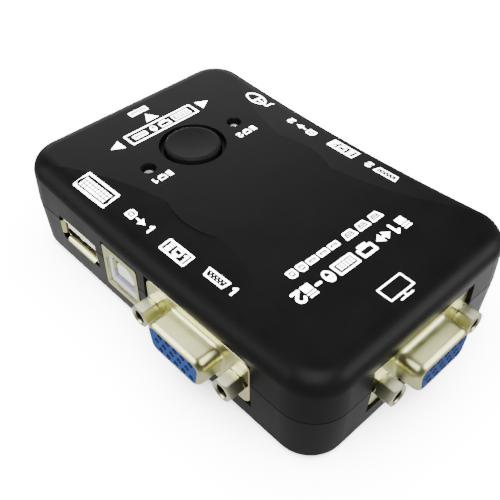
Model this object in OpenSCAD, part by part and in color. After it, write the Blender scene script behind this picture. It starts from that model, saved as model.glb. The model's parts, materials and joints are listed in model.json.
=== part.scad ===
/* [Case] */
// Length of the case at its parting line
case_l = 95; // [93:0.5:98]
// Width of the case at its parting line
case_w = 62.5; // [62:0.5:65]
// Height of the case to its flat top
case_h = 25.3; // [25:0.1:26.5]
// Height of the line where the two covers meet
parting_z = 13.7; // [13.2:0.1:14.2]
// Width of the shadow line between the covers
parting_gap = 0.25; // [0.15:0.05:0.4]
// Corner radius seen from above
corner_r = 8.8; // [8:0.2:9.6]
// Wall and floor thickness
wall_t = 2; // [1.6:0.1:2.2]
// Rounding along the top edge
top_round = 4.5; // [4:0.1:5]
// Rounding where the flanks run into the sides
flank_round = 5.2; // [5:0.1:5.6]
// Rounding along the bottom edge
bottom_round = 2.4; // [1.4:0.1:2.6]
// Inward lean of the top cover's sides, in degrees
top_draft = 1.5; // [0.5:0.1:2]
// Inward lean of the bottom cover's sides, in degrees
bottom_draft = 3; // [2:0.1:5]

/* [Top relief] */
// Distance from the centre line to the narrowest place of the raised middle
waist_x = 16.4; // [15:0.2:18]
// Place of that waist along the case
waist_y = 0.5; // [-3:0.5:3]
// Fall of the side flanks, height lost for each millimetre outward
flank_fall = 0.12; // [0.08:0.01:0.14]
// Radius of the long hollow that the flanks follow
flank_sweep_r = 500; // [440:10:600]
// Radius of the round plateau at the waist
plateau_r = 18.7; // [18:0.1:20]
// Place of the round plateau along the case
plateau_y = -1.6; // [-3:0.2:0]

/* [Button and lamps] */
// Diameter of the push button
cap_d = 13.2; // [12:0.1:14]
// Diameter of the sunk ring around the button
recess_d = 15.8; // [15:0.1:17]
// Depth of the sunk ring
recess_depth = 1.5; // [1:0.1:2]
// Place of the button along the case
button_y = -20.9; // [-23:0.1:-19]
// Height of the button above the flat top
cap_proud = 0.45; // [0.3:0.05:0.8]
// Travel of the button
button_travel = 2.2; // [1.5:0.1:2.4]
// Distance of the two lamps from the centre line
lamp_x = 13; // [12:0.1:14]
// Diameter of the lamp holes
lamp_hole_d = 3.6; // [3.3:0.1:4]
// Diameter of the lamp bodies
lamp_d = 3; // [2.9:0.1:3.1]

/* [Video ports] */
// Length of the port's flange
flange_l = 30.8; // [30.6:0.1:31]
// Height of the port's flange
flange_h = 12.5; // [12.3:0.1:12.6]
// Thickness of the flange
flange_t = 0.8; // [0.6:0.1:1]
// Distance between the two jackscrews
jack_spacing = 24.99; // [24.9:0.01:25.1]
// Width across the flats of the jackscrews
jack_flats = 4.76; // [4.7:0.02:5]
// Length of the jackscrews outside the flange
jack_l = 4.6; // [4.4:0.1:5]
// Minor diameter of the jackscrews' thread
jack_hole_d = 2.3; // [2.2:0.05:2.4]
// Widest part of the shroud
shroud_w = 16.33; // [16.2:0.01:16.5]
// Height of the shroud
shroud_h = 7.9; // [7.8:0.05:8]
// Length of the shroud
shroud_l = 5.8; // [5.6:0.1:6]
// Height of the ports' centre line
vga_z = 12.6; // [12.5:0.05:12.8]
// Place of the two computer ports along the case
vga_side_y = 15.2; // [15:0.1:16]
// Gap between the flange and its cut-out
flange_gap = 0.35; // [0.25:0.05:0.5]

/* [Flat USB ports] */
// Inside width of the shell
usb_a_w = 12.5; // [12.4:0.05:12.6]
// Inside height of the shell
usb_a_h = 5.12; // [5.1:0.02:5.2]
// Height of the ports' centre line
usb_a_z = 11.4; // [11.2:0.1:11.5]
// Place of the keyboard and mouse ports along the case
usb_a_side_y = -25.5; // [-26:0.1:-25]

/* [Square USB ports] */
// Outside width of the shell
usb_b_w = 12; // [11.9:0.05:12.1]
// Outside height of the shell
usb_b_h = 12.1; // [12:0.05:12.2]
// Place of the two computer ports along the case
usb_b_side_y = -9.3; // [-9.5:0.1:-9.1]

/* [Hidden] */

$fn = 96;
half_w = case_w / 2;
half_l = case_l / 2;
// A cut passes this far beyond the surface it opens
over = 1;

// The board lies on the screw posts of the bottom cover
board_z = 4.2;
board_t = 1.6;
board_top = board_z + board_t;
board_half_w = 27.2;
board_half_l = 43;
board_corner = 5;
// Leads reach this far under the board
lead_reach = 0.9;
lead_end_z = board_z - lead_reach;

// Face planes of the ports
flange_x = half_w - 0.25;
flange_y = half_l - 0.8;
usb_front_x = half_w - 0.05;
usb_front_y = half_l - 0.05;

// Screw posts
post_x = 22.3;
post_y = [-39.5, 38.6];
post_r = 3.3;
head_well_d = 5.8;
head_well_h = 2.2;
screw_d = 2.9;
screw_hole_d = 3.2;
screw_head_d = 5.2;
screw_head_h = 1.7;
screw_l = 12;
screw_pilot_d = 3;

// Lip where the bottom cover enters the top cover
lip_t = 0.9;
lip_h = 1.2;
lip_clear = 0.12;

// Button, its guide and its switch
cap_top = case_h + cap_proud;
guide_clear = 0.3;
guide_wall = 1.6;
guide_bottom = case_h - 3.9;
collar_d = cap_d + 2.4;
collar_t = 1.2;
collar_top = guide_bottom - 0.35;
cap_bottom = collar_top - collar_t;
cap_skin = 1.8;
stem_side = 3;
stem_clear = 0.04;
stem_top = cap_top - cap_skin - 0.3;
switch_side = 8.4;
switch_h = 7;
switch_top = board_top + switch_h;
switch_wall = 1.2;
plunger_side = 5.2;
plunger_shoulder_z = switch_top - 1.6;
plunger_foot_z = plunger_shoulder_z - 1.4;
spring_base_z = board_top + 0.9;
spring_d = 3.4;
spring_wire = 0.32;
spring_turns = 3.5;

function sides() = [-1, 1];

// ---------- shapes shared by the covers ----------

// Section of a cover: x runs outward from the corner's centre, y is the height
module cover_section(reach, z_join, z_face, draft, round_r) {
    up = z_face > z_join ? 1 : -1;
    round_z = z_face - up * round_r;
    round_x = reach - abs(round_z - z_join) * tan(draft) - round_r / cos(draft);
    touch = [round_x + round_r * cos(draft), round_z + up * round_r * sin(draft)];
    polygon([[0, z_join], [reach, z_join], touch, [round_x, round_z], [round_x, z_face], [0, z_face]]);
    intersection() {
        translate([round_x, round_z]) circle(round_r);
        translate([round_x, up > 0 ? round_z : round_z - round_r]) square(round_r);
    }
}

// The given section carried round a rectangle with round corners
module carried_round(hw, hl, r, z0, z1) {
    cx = hw - r;
    cy = hl - r;
    for (quarter = [0 : 3]) {
        sx = (quarter == 0 || quarter == 3) ? 1 : -1;
        sy = quarter < 2 ? 1 : -1;
        translate([sx * cx, sy * cy, 0]) rotate(quarter * 90) rotate_extrude(angle = 90) children();
    }
    for (s = sides()) {
        translate([s * cx, 0, 0]) rotate([90, 0, s > 0 ? 0 : 180])
            translate([0, 0, -cy]) linear_extrude(2 * cy) children();
        translate([0, s * cy, 0]) rotate([90, 0, s * 90])
            translate([0, 0, -cx]) linear_extrude(2 * cx) children();
    }
    translate([-cx, -cy, min(z0, z1)]) cube([2 * cx, 2 * cy, abs(z1 - z0)]);
}

// One cover's form, shrunk inward by inset
module cover_form(inset, z_join, z_face, draft, round_r) {
    r = corner_r - inset;
    carried_round(half_w - inset, half_l - inset, r, z_join, z_face)
        cover_section(r, z_join, z_face, draft, round_r);
}

// Waste above one flank and outside its rounded edge, swept along the case
module flank_waste() {
    fall_angle = atan(flank_fall);
    // The sweep passes a hair outside the wall, so that it meets it at an edge
    edge_x = half_w + 0.02;
    lean = tan(top_draft);
    level = case_h + flank_fall * waist_x;
    round_x = (edge_x - flank_round / cos(top_draft)
        - lean * (level - flank_round / cos(fall_angle) - parting_z)) / (1 - lean * flank_fall);
    round_z = level - flank_fall * round_x - flank_round / cos(fall_angle);
    touch = [round_x + flank_round * sin(fall_angle), round_z + flank_round * cos(fall_angle)];
    axis_z = case_h + flank_sweep_r;
    // The section runs from well inside the waist to well outside the wall, and above the flat top
    spare = 4;
    inner_x = waist_x - spare;
    waste_top = case_h + spare;
    half_sweep = 6;
    translate([0, waist_y, axis_z]) rotate([0, 90, 0]) rotate([0, 0, -half_sweep])
        rotate_extrude(angle = 2 * half_sweep, $fn = 1440)
            difference() {
                translate([axis_z - waste_top, inner_x])
                    square([waste_top - round_z, half_w + spare - inner_x]);
                polygon([for (p = [[inner_x - 1, level - flank_fall * (inner_x - 1)], touch,
                    [round_x, round_z], [round_x, round_z - spare], [inner_x - 1, round_z - spare]])
                    [axis_z - p[1], p[0]]]);
                translate([axis_z - round_z, round_x]) circle(flank_round);
            }
}

// Cut-outs for every port, through the walls of both covers
module port_cutouts() {
    vga_l = flange_l + 2 * flange_gap;
    vga_h = flange_h + 2 * flange_gap;
    usb_a_cut = [usb_a_w + 1.8, usb_a_h + 2];
    usb_b_cut = [usb_b_w + 0.6, usb_b_h + 0.7];
    cut_t = 8;
    for (s = sides()) {
        translate([s * half_w, vga_side_y, vga_z]) cube([cut_t, vga_l, vga_h], center = true);
        translate([s * half_w, usb_a_side_y, usb_a_z])
            cube([cut_t, usb_a_cut[0], usb_a_cut[1]], center = true);
        translate([s * half_w, usb_b_side_y, usb_b_z()])
            cube([cut_t, usb_b_cut[0], usb_b_cut[1]], center = true);
    }
    translate([0, half_l, vga_z]) cube([vga_l, cut_t, vga_h], center = true);
    translate([0, -half_l, usb_a_z]) cube([usb_a_cut[0], cut_t, usb_a_cut[1]], center = true);
}

function usb_b_z() = board_top + 0.05 + usb_b_h / 2;

module at_posts() {
    for (x = [-post_x, post_x]) for (y = post_y) translate([x, y, 0]) children();
}

// ---------- covers, screws and board ----------

module top_cover() color([0.12, 0.12, 0.13]) {
    roof_z = case_h - wall_t - 0.2;
    rim_z = parting_z + parting_gap / 2;
    difference() {
        union() {
            difference() {
                cover_form(0, rim_z, case_h, top_draft, top_round);
                flank_waste();
                mirror([1, 0, 0]) flank_waste();
                translate([0, 0, -over]) cover_form(wall_t, rim_z, roof_z + over, top_draft, 4);
                // Room for the bottom cover's lip
                translate([0, 0, -over])
                    cover_form(wall_t - lip_t - lip_clear, rim_z, rim_z + lip_h + 0.2 + over, 0, 0.3);
            }
            // Round plateau, level with the raised middle
            translate([0, plateau_y, roof_z]) cylinder(h = case_h - roof_z, r = plateau_r);
            // Ring that guides the button
            translate([0, button_y, guide_bottom])
                cylinder(h = case_h - guide_bottom - 1, d = cap_d + 2 * (guide_clear + guide_wall));
            // Posts that the screws bite into
            at_posts() translate([0, 0, board_top + 0.05])
                cylinder(h = roof_z + 0.5 - board_top, r = post_r);
        }
        port_cutouts();
        // Button ring and hole
        translate([0, button_y, case_h - recess_depth]) cylinder(h = recess_depth + over, d = recess_d);
        translate([0, button_y, guide_bottom - over])
            cylinder(h = case_h - guide_bottom + over, d = cap_d + 2 * guide_clear);
        for (s = sides())
            translate([s * lamp_x, button_y, roof_z - over]) cylinder(h = wall_t + 3 * over, d = lamp_hole_d);
        at_posts() translate([0, 0, board_top - over]) cylinder(h = screw_l, d = screw_pilot_d);
    }
}

module bottom_cover() color([0.12, 0.12, 0.13]) {
    rim_z = parting_z - parting_gap / 2;
    difference() {
        union() {
            difference() {
                cover_form(0, rim_z, 0, bottom_draft, bottom_round);
                translate([0, 0, over]) cover_form(wall_t, rim_z, wall_t - over, bottom_draft, 0.8);
            }
            // Lip that enters the top cover
            difference() {
                cover_form(wall_t - lip_t, rim_z - 1.5, rim_z + lip_h, 0, 0.3);
                translate([0, 0, -over]) cover_form(wall_t, rim_z - 1.5, rim_z + lip_h + 2 * over, 0, 0.3);
            }
            // Posts that carry the board
            at_posts() translate([0, 0, wall_t - 0.5]) cylinder(h = board_z - wall_t + 0.5, r = post_r + 0.6);
        }
        port_cutouts();
        at_posts() {
            translate([0, 0, -over]) cylinder(h = head_well_h + over, d = head_well_d);
            cylinder(h = board_z + over, d = screw_hole_d);
        }
    }
}

// Pan-head self-tapping screws, heads sunk in the bottom cover
module case_screws() color("dimgray") at_posts() {
    slot_w = 0.8;
    seat_z = head_well_h;
    difference() {
        union() {
            translate([0, 0, seat_z - screw_head_h]) cylinder(h = screw_head_h, d = screw_head_d);
            translate([0, 0, seat_z - 0.1]) cylinder(h = screw_l - 2, d = screw_d);
            translate([0, 0, seat_z + screw_l - 2.1]) cylinder(h = 2, d1 = screw_d, d2 = 0.6);
        }
        for (turn = [0, 90]) translate([0, 0, seat_z - screw_head_h])
            rotate(turn) cube([3.2, slot_w, 2], center = true);
    }
}

// Rectangle with exact round corners
module round_rect(w, h, r) {
    square([w - 2 * r, h], center = true);
    square([w, h - 2 * r], center = true);
    for (x = sides()) for (y = sides()) translate([x * (w / 2 - r), y * (h / 2 - r)]) circle(r);
}

module main_board() color([0.05, 0.32, 0.16]) {
    hole_d = 1.1;
    difference() {
        translate([0, 0, board_z]) linear_extrude(board_t)
            round_rect(2 * board_half_w, 2 * board_half_l, board_corner);
        at_posts() translate([0, 0, board_z - over]) cylinder(h = board_t + 2 * over, d = screw_hole_d + 0.2);
        translate([0, 0, board_z - over]) {
            at_vga_ports_flat() vga_board_holes(hole_d, board_t + 2 * over);
            at_usb_a_ports_flat() usb_a_board_holes(hole_d, board_t + 2 * over);
            at_usb_b_ports_flat() usb_b_board_holes(hole_d, board_t + 2 * over);
            for (s = sides()) for (lead = lamp_lead_x())
                translate([s * lamp_x + lead, button_y, 0])
                    cylinder(h = board_t + 2 * over, d = hole_d - 0.2);
            for (p = terminal_places()) translate([p[0], button_y + p[1], 0])
                cylinder(h = board_t + 2 * over, d = hole_d);
        }
    }
}

// ---------- where the ports stand: each port's own +Y points out of the case ----------

module at_pc1(y) { translate([0, y, 0]) rotate(-90) children(); }
module at_pc2(y) { translate([0, y, 0]) rotate(90) children(); }
module at_console() { rotate(180) children(); }

module at_vga_ports_flat() {
    at_pc1(vga_side_y) translate([0, flange_x, 0]) children();
    at_pc2(vga_side_y) translate([0, flange_x, 0]) children();
    translate([0, flange_y, 0]) children();
}

module at_usb_a_ports_flat() {
    at_pc1(usb_a_side_y) translate([0, usb_front_x, 0]) children();
    at_pc2(usb_a_side_y) translate([0, usb_front_x, 0]) children();
    at_console() translate([0, usb_front_y, 0]) children();
}

module at_usb_b_ports_flat() {
    at_pc1(usb_b_side_y) translate([0, usb_front_x, 0]) children();
    at_pc2(usb_b_side_y) translate([0, usb_front_x, 0]) children();
}

// ---------- video port, drawn about the middle of its flange's front face ----------

row_pitch = 1.98;
pin_pitch = 2.29;
pin_d = 0.7;
pin_hole_d = 1.25;
shroud_skin = 0.45;
lip_t_vga = 0.5;
lip_w_vga = 0.9;
tail_first = 10.4;
tail_pitch = 2.4;
block_back = 9;
block_w = 18.6;
peg_y = -5.2;
peg_gap = 1.3;
vga_board_z = board_top - vga_z;
vga_lead_z = lead_end_z - vga_z;

// Places of the 15 contacts: [x, height, reach of its tail behind the flange]
function vga_pins() = [for (row = [0 : 2]) for (i = [-2 : 2])
    [(i + (row == 1 ? 0.5 : 0) - 0.25) * pin_pitch, (row - 1) * row_pitch, tail_first + row * tail_pitch]];

// D-shaped outline, wide side up, grown outward by grow
module d_outline(grow) {
    slant = 10;
    r = 2.4;
    high = shroud_h / 2 - r;
    wide = shroud_w / 2 - r;
    narrow = wide - 2 * high * tan(slant);
    g = r + grow;
    for (s = sides()) {
        translate([s * wide, high]) circle(g);
        translate([s * narrow, -high]) circle(g);
    }
    out = g * [cos(slant), -sin(slant)];
    polygon([
        [-wide, high + g], [wide, high + g], [wide + out[0], high + out[1]],
        [narrow + out[0], -high + out[1]], [narrow, -high - g], [-narrow, -high - g],
        [-narrow - out[0], -high + out[1]], [-wide - out[0], high + out[1]]]);
}

// Extrudes a front view (x across, y up) from y0 out to y1
module outward(y0, y1) {
    translate([0, y1, 0]) rotate([90, 0, 0]) linear_extrude(y1 - y0) children();
}

// Stamped shield: flange, rolled foot, shroud, and a lip turned in over the insulator
module vga_shield_shape() color([0.83, 0.81, 0.74]) {
    foot_t = 0.6;
    difference() {
        union() {
            outward(-flange_t, 0) round_rect(flange_l, flange_h, 2);
            outward(-0.1, foot_t) d_outline(shroud_skin);
            outward(0, shroud_l) d_outline(0);
        }
        outward(-flange_t - over, shroud_l - lip_t_vga) d_outline(-shroud_skin);
        outward(-flange_t - over, shroud_l + over) d_outline(-lip_w_vga);
        for (s = sides()) translate([s * jack_spacing / 2, over, 0])
            rotate([90, 0, 0]) cylinder(h = flange_t + 2 * over, d = 3.2);
    }
}

// Two mouldings, held by the flange between them: the D-shaped front and the block behind
module vga_insulator_shape() color([0.2, 0.33, 0.72]) {
    block_top = 4.3;
    clear = 0.05;
    // The block steps up over the wall of the bottom cover
    step_y = -3.4;
    step_z = -5.9;
    split_y = -flange_t - clear;
    difference() {
        union() {
            outward(split_y + clear, shroud_l - lip_t_vga - clear) d_outline(-shroud_skin - clear);
            outward(0, shroud_l - 0.1) d_outline(-lip_w_vga - clear);
            translate([-block_w / 2, step_y, step_z]) cube([block_w, split_y - step_y, block_top - step_z]);
            translate([-block_w / 2, -block_back, vga_board_z])
                cube([block_w, block_back + step_y + 0.1, block_top - vga_board_z]);
        }
        for (p = vga_pins()) translate([p[0], shroud_l + over, p[1]])
            rotate([90, 0, 0]) cylinder(h = shroud_l + block_back + 2 * over, d = pin_hole_d);
    }
}

module vga_contacts_shape() color([0.8, 0.65, 0.25]) {
    front = shroud_l - 1.4;
    for (p = vga_pins()) {
        translate([p[0], front, p[1]]) rotate([90, 0, 0]) cylinder(h = front + p[2], d = pin_d);
        translate([p[0], -p[2], vga_lead_z]) cylinder(h = p[1] - vga_lead_z, d = pin_d);
        translate([p[0], -p[2], p[1]]) sphere(d = pin_d);
    }
}

// Hexagonal standoffs with a stud through the flange
module vga_jackscrews_shape() color([0.83, 0.81, 0.74]) {
    stud_d = 2.8;
    stud_l = 5;
    edge = 0.45;
    corner_d = jack_flats / cos(30);
    for (s = sides()) translate([s * jack_spacing / 2, 0, 0]) rotate([-90, 0, 0])
        difference() {
            union() {
                intersection() {
                    cylinder(h = jack_l, d = corner_d, $fn = 6);
                    union() {
                        cylinder(h = jack_l - edge, d = corner_d + 0.2);
                        translate([0, 0, jack_l - edge])
                            cylinder(h = edge, d1 = corner_d + 0.2, d2 = jack_flats - 0.3);
                    }
                }
                translate([0, 0, -stud_l]) cylinder(h = stud_l + 0.1, d = stud_d);
            }
            translate([0, 0, 0.6]) cylinder(h = jack_l, d = jack_hole_d);
        }
}

// Folded brackets that lock the flange to the board: plate, shelf over the cover's wall, and foot
module vga_brackets_shape() color([0.75, 0.74, 0.7]) {
    plate_w = 5.6;
    plate_t = 1;
    shelf_y = -4;
    foot_y = -3.2;
    foot_end = -7.8;
    plate_foot = -flange_h / 2;
    plate_back = -flange_t - plate_t;
    for (s = sides()) translate([s * jack_spacing / 2, 0, 0]) {
        difference() {
            union() {
                translate([-plate_w / 2, plate_back, plate_foot]) cube([plate_w, plate_t - 0.01, flange_h]);
                translate([-plate_w / 2, shelf_y, plate_foot])
                    cube([plate_w, plate_back + 0.1 - shelf_y, 0.8]);
                translate([-plate_w / 2, foot_end, vga_board_z])
                    cube([plate_w, foot_y - foot_end, plate_foot + 0.4 - vga_board_z]);
                translate([0, plate_back + 0.2, 0]) rotate([90, 0, 0]) cylinder(h = 2.6, d = 4.6);
            }
            translate([0, over, 0]) rotate([90, 0, 0]) cylinder(h = 8, d = 2.9);
        }
        for (t = sides()) translate([t * peg_gap - 0.3, peg_y - 0.5, vga_lead_z])
            cube([0.6, 1, vga_board_z - vga_lead_z + 0.1]);
    }
}

module vga_board_holes(d, h) {
    for (p = vga_pins()) translate([p[0], -p[2], 0]) cylinder(h = h, d = d);
    for (s = sides()) for (t = sides())
        translate([s * jack_spacing / 2 + t * peg_gap, peg_y, 0]) cylinder(h = h, d = d + 0.5);
}

module at_vga(place) {
    if (place == "monitor") translate([0, flange_y, vga_z]) children();
    if (place == "pc1") at_pc1(vga_side_y) translate([0, flange_x, vga_z]) children();
    if (place == "pc2") at_pc2(vga_side_y) translate([0, flange_x, vga_z]) children();
}

// ---------- flat USB port, drawn about the middle of its mouth ----------

usb_a_skin = 0.3;
usb_a_depth = 13.6;
lip = 0.55;
usb_a_board_z = board_top - usb_a_z;
usb_a_lead_z = lead_end_z - usb_a_z;
usb_a_contact_x = [-3.5, -1.25, 1.25, 3.5];
usb_a_contact_w = 1;
usb_a_contact_t = 0.25;
usb_a_leg_y = -4.4;
tongue_top = usb_a_h / 2 - 0.62;
tongue_t = 1.84;
tongue_front = -0.85;
tongue_root = -10.6;
usb_a_tail_y = -usb_a_depth - 2.2;

module usb_a_shell_shape() color([0.83, 0.81, 0.74]) {
    out_w = usb_a_w + 2 * usb_a_skin;
    out_h = usb_a_h + 2 * usb_a_skin;
    leg_w = 2;
    difference() {
        outward(-usb_a_depth, -lip) round_rect(out_w, out_h, 0.5);
        outward(-usb_a_depth - over, over) round_rect(usb_a_w, usb_a_h, 0.25);
    }
    // Lips bent outward round the mouth
    for (s = sides()) {
        translate([-usb_a_w / 2 + 1, 0, 0]) rotate([90, 0, 90]) linear_extrude(usb_a_w - 2)
            polygon([for (p = [[-lip - 0.05, 0], [0, 0.6], [0, 0.9], [-lip - 0.05, usb_a_skin]])
                [p[0], s * (usb_a_h / 2 + p[1])]]);
        translate([0, 0, -usb_a_h / 2 + 0.8]) linear_extrude(usb_a_h - 1.6)
            polygon([for (p = [[0, -lip - 0.05], [0.5, 0], [0.8, 0], [usb_a_skin, -lip - 0.05]])
                [s * (usb_a_w / 2 + p[0]), p[1]]]);
        // Legs through the board
        translate([s * (out_w - usb_a_skin) / 2 - usb_a_skin / 2, usb_a_leg_y - leg_w / 2, usb_a_lead_z])
            cube([usb_a_skin, leg_w, -usb_a_lead_z]);
    }
}

module usb_a_tongue_shape() color([0.9, 0.9, 0.88]) {
    base_w = 12.2;
    shell_bottom = -usb_a_h / 2 - usb_a_skin;
    inner = 0.08;
    riser_front = -3.4;
    riser_back = -usb_a_depth - 1;
    keel_w = 1.4;
    difference() {
        union() {
            translate([-5.55, tongue_root - 0.1, tongue_top - tongue_t])
                cube([11.1, tongue_front - tongue_root, tongue_t]);
            // Block that fills the shell's back
            translate([-usb_a_w / 2 + inner, -usb_a_depth, -usb_a_h / 2 + inner])
                cube([usb_a_w - 2 * inner, usb_a_depth + tongue_root, usb_a_h - 2 * inner]);
            // Back wall and riser that stand on the board
            translate([-base_w / 2, -usb_a_depth - 1.4, usb_a_board_z])
                cube([base_w, 1.4, usb_a_h / 2 - usb_a_board_z]);
            translate([-base_w / 2, riser_back, usb_a_board_z])
                cube([base_w, riser_front - riser_back, shell_bottom - 0.02 - usb_a_board_z]);
            // Keel under the middle of the tongue
            translate([-keel_w / 2, tongue_root, tongue_top - tongue_t - 0.3])
                cube([keel_w, tongue_front - tongue_root - 0.1, 0.4]);
        }
        for (x = usb_a_contact_x)
            translate([x - usb_a_contact_w / 2 - 0.05, -usb_a_depth - 3, tongue_top - tongue_t - 0.05])
                cube([usb_a_contact_w + 0.1, usb_a_depth + 3 + tongue_front - 0.9, usb_a_contact_t + 0.1]);
    }
}

module usb_a_contacts_shape() color([0.8, 0.65, 0.25]) for (x = usb_a_contact_x) {
    strip_z = tongue_top - tongue_t;
    reach = -usb_a_tail_y + tongue_front - 1;
    translate([x - usb_a_contact_w / 2, usb_a_tail_y, strip_z])
        cube([usb_a_contact_w, reach, usb_a_contact_t]);
    // Sprung bow under the tongue
    translate([x - usb_a_contact_w / 2, tongue_front - 1, 0]) rotate([90, 0, 90])
        linear_extrude(usb_a_contact_w) polygon([
            [-6, strip_z + 0.05], [-2, strip_z - 0.55], [-1.4, strip_z - 0.55], [0, strip_z + 0.05],
            [0, strip_z + 0.2], [-1.5, strip_z - 0.35], [-1.9, strip_z - 0.35], [-5.2, strip_z + 0.2]]);
    translate([x - 0.3, usb_a_tail_y, usb_a_lead_z]) cube([0.6, 0.4, strip_z + 0.1 - usb_a_lead_z]);
}

module usb_a_board_holes(d, h) {
    for (x = usb_a_contact_x) translate([x, usb_a_tail_y + 0.2, 0]) cylinder(h = h, d = d);
    for (s = sides()) translate([s * (usb_a_w + usb_a_skin) / 2, usb_a_leg_y, 0])
        cylinder(h = h, d = d + 1.3);
}

module at_usb_a(place) {
    if (place == "keyboard") at_pc1(usb_a_side_y) translate([0, usb_front_x, usb_a_z]) children();
    if (place == "mouse") at_pc2(usb_a_side_y) translate([0, usb_front_x, usb_a_z]) children();
    if (place == "console") at_console() translate([0, usb_front_y, usb_a_z]) children();
}

// ---------- square USB port, drawn about the middle of its mouth ----------

usb_b_skin = 0.4;
usb_b_depth = 15.5;
usb_b_board_z = board_top - usb_b_z();
usb_b_lead_z = lead_end_z - usb_b_z();
socket_w = 8.7;
socket_h = 8;
socket_chamfer = 1.9;
socket_depth = 9;
post_w = 5.6;
post_h = 3.2;
usb_b_contact_x = [-1.25, 1.25];
usb_b_tail_y = [-11.6, -13.8];
usb_b_leg_y = -5.6;
tail_well_w = 4.4;
leaf_h = 3;

// Square opening with its two upper corners cut off
module socket_outline(grow) {
    w = socket_w / 2 + grow;
    h = socket_h / 2 + grow;
    c = socket_chamfer + grow / 2;
    polygon([[-w, -h], [w, -h], [w, h - c], [w - c, h], [-w + c, h], [-w, h - c]]);
}

module usb_b_shell_shape() color([0.83, 0.81, 0.74]) {
    leg_w = 2;
    difference() {
        outward(-usb_b_depth, 0) round_rect(usb_b_w, usb_b_h, 0.6);
        outward(-usb_b_depth - over, -usb_b_skin)
            round_rect(usb_b_w - 2 * usb_b_skin, usb_b_h - 2 * usb_b_skin, 0.3);
        outward(-over, over) socket_outline(0.75);
        // Slot for the contact tails
        translate([-tail_well_w / 2, usb_b_tail_y[1] - 0.6, -usb_b_h / 2 - over])
            cube([tail_well_w, 3.4, 2 * over]);
    }
    for (s = sides()) {
        translate([s * (usb_b_w - usb_b_skin) / 2 - usb_b_skin / 2, usb_b_leg_y - leg_w / 2, usb_b_lead_z])
            cube([usb_b_skin, leg_w, -usb_b_lead_z - usb_b_h / 2 + 1]);
        // Leaf that bows into the socket through the housing's window
        translate([0, 0, -leaf_h / 2]) linear_extrude(leaf_h)
            polygon([for (p = [[0.1, -1.3], [-1.1, -3], [-1.1, -3.6], [0.1, -6.4],
                [0.1, -6.1], [-0.8, -3.5], [-0.8, -3.1], [0.1, -1.7]])
                [s * (usb_b_w / 2 - usb_b_skin + p[0]), p[1]]]);
    }
}

module usb_b_housing_shape() color([0.93, 0.93, 0.91]) {
    gap = 0.06;
    w = usb_b_w - 2 * (usb_b_skin + gap);
    h = usb_b_h - 2 * (usb_b_skin + gap);
    front = -usb_b_skin - 0.5;
    post_back = 0.3;
    difference() {
        outward(-usb_b_depth + 0.2, front) round_rect(w, h, usb_b_skin);
        outward(-socket_depth, over) difference() {
            socket_outline(0);
            round_rect(post_w, post_h, 0.4);
        }
        // Windows for the shell's leaves
        for (s = sides()) translate([s * (socket_w / 2 + 1), 0, 0])
            outward(-7, front - 0.3) square([2.4, leaf_h + 0.5], center = true);
        // The middle post starts behind the mouth
        translate([-post_w / 2 - over, front - post_back, -post_h / 2 - over])
            cube([post_w + 2 * over, 3, post_h + 2 * over]);
        for (x = usb_b_contact_x) for (s = sides())
            translate([x - 0.55, -usb_b_depth - over, s * post_h / 2 - 0.3])
                cube([1.1, usb_b_depth + over + front - 1.7, 0.6]);
        // Well for the tails
        translate([-tail_well_w / 2, usb_b_tail_y[1] - 0.6, -h / 2 - over])
            cube([tail_well_w, 3.4, h / 2 + post_h / 2 + over]);
    }
}

module usb_b_contacts_shape() color([0.8, 0.65, 0.25]) for (x = usb_b_contact_x) for (s = sides()) {
    tail = s > 0 ? usb_b_tail_y[1] : usb_b_tail_y[0];
    front = -usb_b_skin - 0.5 - 2;
    translate([x - 0.5, tail, s * (post_h / 2) - 0.12]) cube([1, front - tail, 0.24]);
    translate([x - 0.3, tail, usb_b_lead_z]) cube([0.6, 0.4, s * post_h / 2 - usb_b_lead_z]);
}

module usb_b_board_holes(d, h) {
    for (x = usb_b_contact_x) for (y = usb_b_tail_y) translate([x, y + 0.2, 0]) cylinder(h = h, d = d);
    for (s = sides()) translate([s * (usb_b_w - usb_b_skin) / 2, usb_b_leg_y, 0])
        cylinder(h = h, d = d + 1.3);
}

module at_usb_b(place) {
    if (place == "pc1") at_pc1(usb_b_side_y) translate([0, usb_front_x, usb_b_z()]) children();
    if (place == "pc2") at_pc2(usb_b_side_y) translate([0, usb_front_x, usb_b_z()]) children();
}

// ---------- button and its latching switch ----------

module button_cap() color([0.1, 0.1, 0.11]) translate([0, button_y, 0]) {
    dish = 0.35;
    dish_r = (pow(cap_d / 2 - 0.9, 2) + dish * dish) / (2 * dish);
    edge = 0.5;
    cap_wall = 1.2;
    boss_d = 6;
    socket = stem_side + 2 * stem_clear;
    difference() {
        union() {
            translate([0, 0, cap_bottom]) cylinder(h = cap_top - cap_bottom - edge, d = cap_d);
            // Rounded edge of the top face
            translate([0, 0, cap_top - edge]) rotate_extrude() {
                square([cap_d / 2 - edge, edge]);
                intersection() {
                    translate([cap_d / 2 - edge, 0]) circle(edge);
                    square([cap_d / 2, edge]);
                }
            }
            translate([0, 0, cap_bottom]) cylinder(h = collar_t, d = collar_d);
        }
        translate([0, 0, cap_top - dish + dish_r]) sphere(dish_r, $fn = 400);
        // Hollow underside, leaving a boss for the switch's stem
        translate([0, 0, cap_bottom - over]) difference() {
            cylinder(h = cap_top - cap_skin - cap_bottom + over, d = cap_d - 2 * cap_wall);
            cylinder(h = cap_top, d = boss_d);
        }
        translate([-socket / 2, -socket / 2, cap_bottom - over])
            cube([socket, socket, stem_top + 0.05 - cap_bottom + over]);
    }
}

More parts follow.
